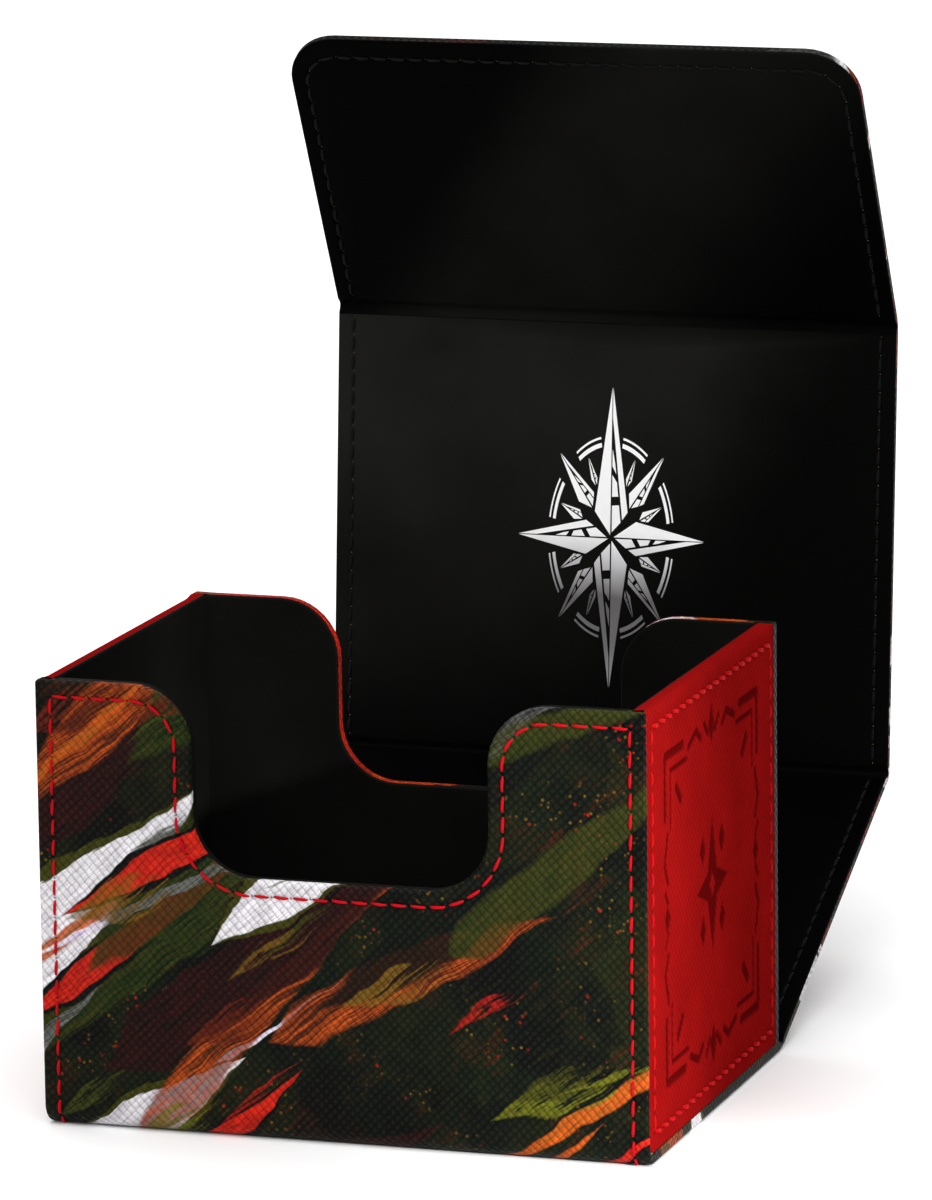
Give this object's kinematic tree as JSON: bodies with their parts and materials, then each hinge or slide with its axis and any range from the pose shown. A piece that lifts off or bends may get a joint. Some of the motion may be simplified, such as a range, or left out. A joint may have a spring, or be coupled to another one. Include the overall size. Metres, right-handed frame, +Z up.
{
  "type": "card deck box",
  "caption": "Flip-top box for sleeved trading cards: a stiff open tray with thumb cut-outs front and back, and a folding three-panel lid closed by hidden magnets.",
  "frame": {"origin": "on the table under the middle of the tray", "axes": "+X to the right, +Y to the back where the lid hinges, +Z up"},
  "size_m": [0.1026, 0.1532, 0.1619],
  "materials": {
    "printed_leatherette": "satin",
    "red_leatherette": "satin",
    "black_lining": "matte",
    "red_thread": "matte",
    "black_thread": "matte",
    "chipboard": "matte",
    "steel_disc": "satin",
    "magnet": "polished",
    "silver_foil": "satin"
  },
  "bodies": {
    "tray": {"front_board": "chipboard", "rear_board": "chipboard", "left_side_board": "chipboard", "right_side_board": "chipboard", "floor_board": "chipboard", "base_board": "chipboard", "front_skin": "printed_leatherette", "base_skin": "printed_leatherette", "rear_skin": "printed_leatherette", "left_side_skin": "red_leatherette", "right_side_skin": "red_leatherette", "front_lining": "black_lining", "rear_lining": "black_lining", "left_lining": "black_lining", "right_lining": "black_lining", "floor_lining": "black_lining", "tray_magnets": "steel_disc", "front_stitching": "red_thread", "rear_stitching": "red_thread", "left_side_stitching": "red_thread", "right_side_stitching": "red_thread", "rear_fold_strip": "black_lining"},
    "rear_panel": {"rear_panel_board": "chipboard", "rear_panel_skin": "printed_leatherette", "rear_panel_lining": "black_lining", "rear_panel_stitching": "black_thread", "top_fold_strip": "black_lining"},
    "top_panel": {"top_panel_board": "chipboard", "top_panel_skin": "printed_leatherette", "top_panel_lining": "black_lining", "top_panel_stitching": "black_thread", "emblem_foil": "silver_foil", "flap_fold_strip": "black_lining"},
    "flap": {"flap_board": "chipboard", "flap_skin": "printed_leatherette", "flap_lining": "black_lining", "flap_stitching": "black_thread", "flap_magnets": "magnet"}
  },
  "joints": [
    {"name": "rear_fold", "type": "hinge", "parent": "tray", "child": "rear_panel", "pos_m": [0, 0.0394, 0.001], "axis": [1, 0, 0], "range_deg": [-24.4, 65.6]},
    {"name": "top_fold", "type": "hinge", "parent": "rear_panel", "child": "top_panel", "pos_m": [0, 0.1077, 0.03198], "axis": [1, 0, 0], "range_deg": [-60.7, 29.3]},
    {"name": "flap_fold", "type": "hinge", "parent": "top_panel", "child": "flap", "pos_m": [0, 0.11443, 0.11049], "axis": [1, 0, 0], "range_deg": [-32.9, 57.1]}
  ]
}
